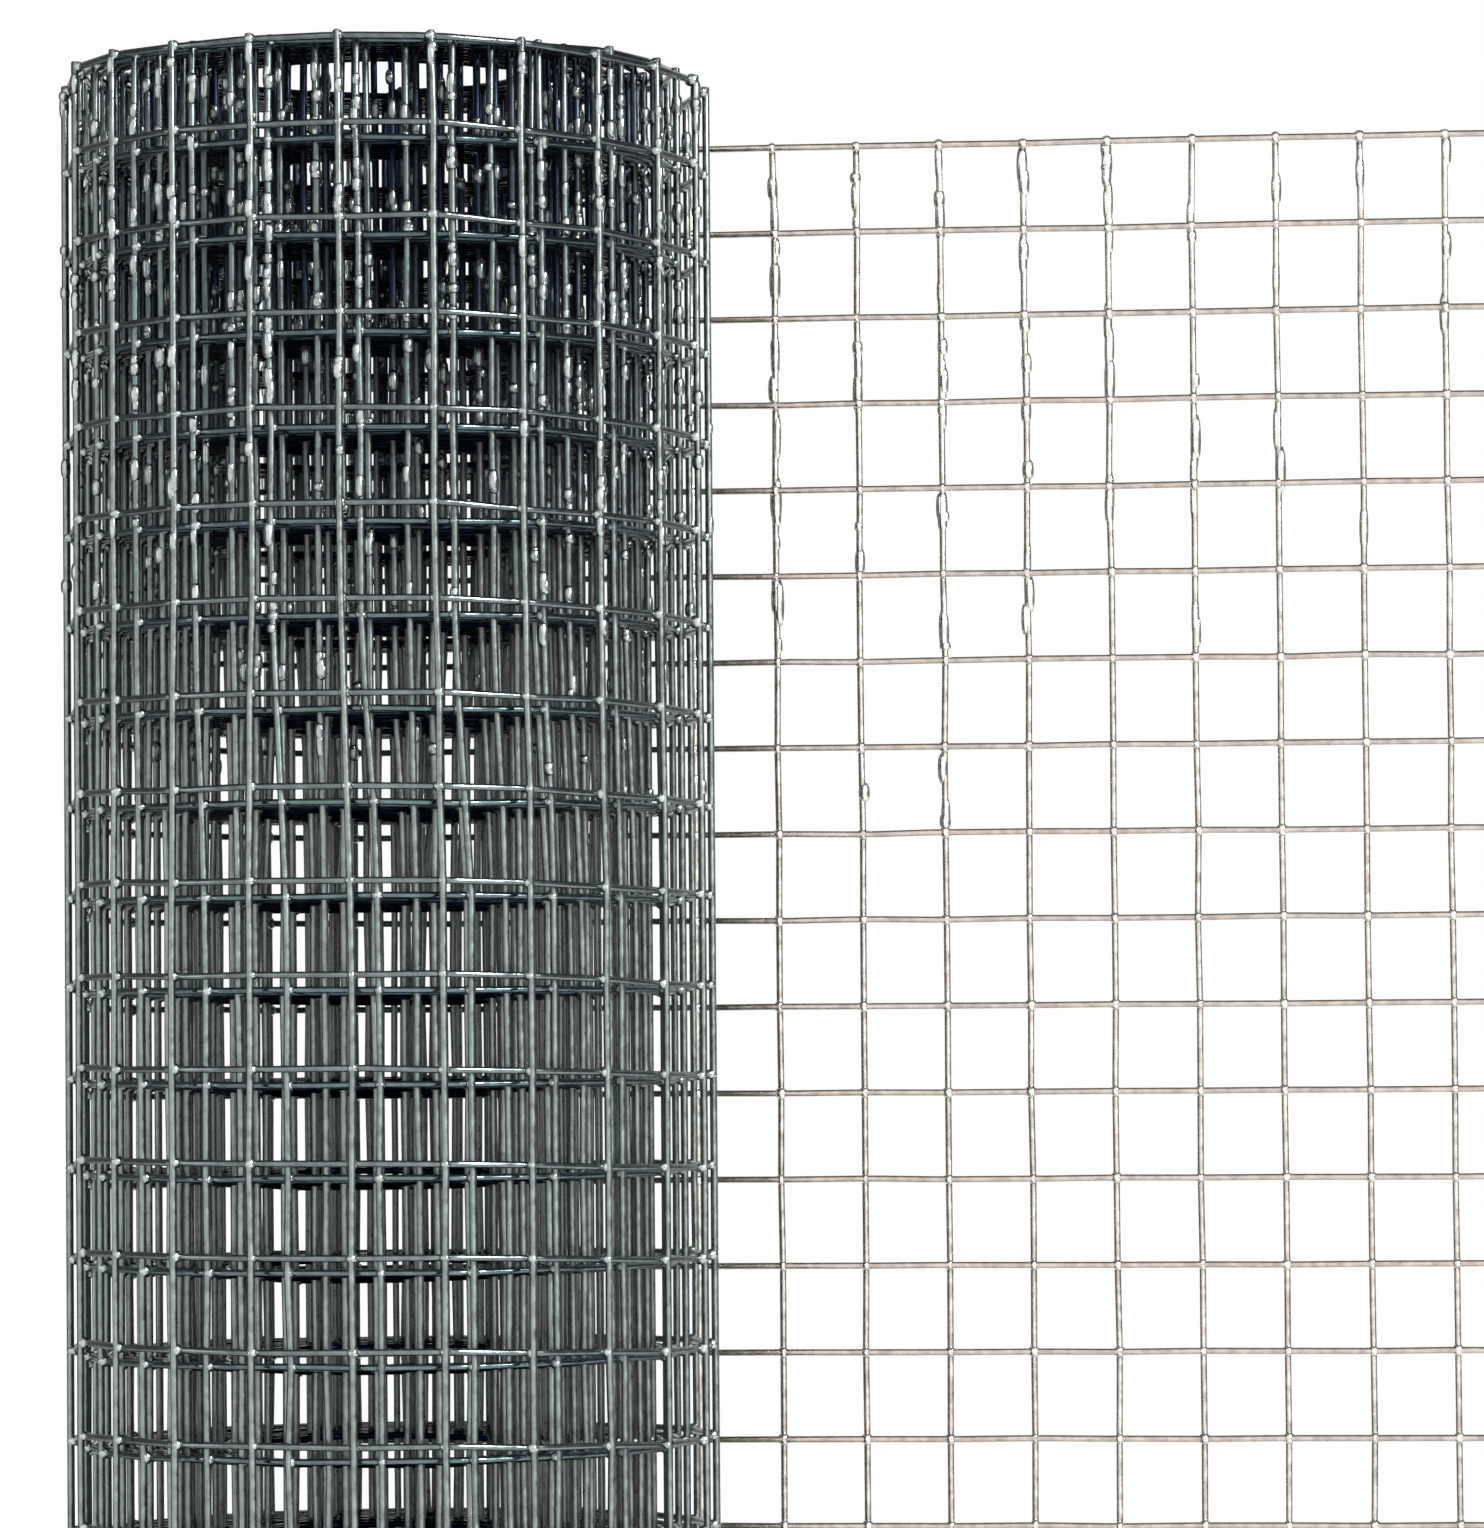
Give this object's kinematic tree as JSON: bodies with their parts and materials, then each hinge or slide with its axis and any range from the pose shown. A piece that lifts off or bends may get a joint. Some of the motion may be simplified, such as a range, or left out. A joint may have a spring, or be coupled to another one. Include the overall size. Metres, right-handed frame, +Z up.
{
  "type": "roll of welded wire mesh",
  "caption": "Upright roll of galvanised welded square mesh wound round an open core, its loose end standing out flat from the back of the roll.",
  "frame": {"origin": "on the axis of the roll's open core, at the level of the lowest laps that the roll stands on", "axes": "+Z up along the roll; the sheet leaves the back of the roll on the +Y side and its loose end runs along +X; +Y is square to the loose end"},
  "size_m": [0.2216, 0.0924, 0.502],
  "materials": {
    "galvanised_wire": "hot-dip galvanised after welding, satin with bright runs of zinc"
  },
  "bodies": {
    "root": {"mesh_roll": "galvanised_wire", "tail_lower": "galvanised_wire", "tail_upper": "galvanised_wire"}
  },
  "joints": []
}
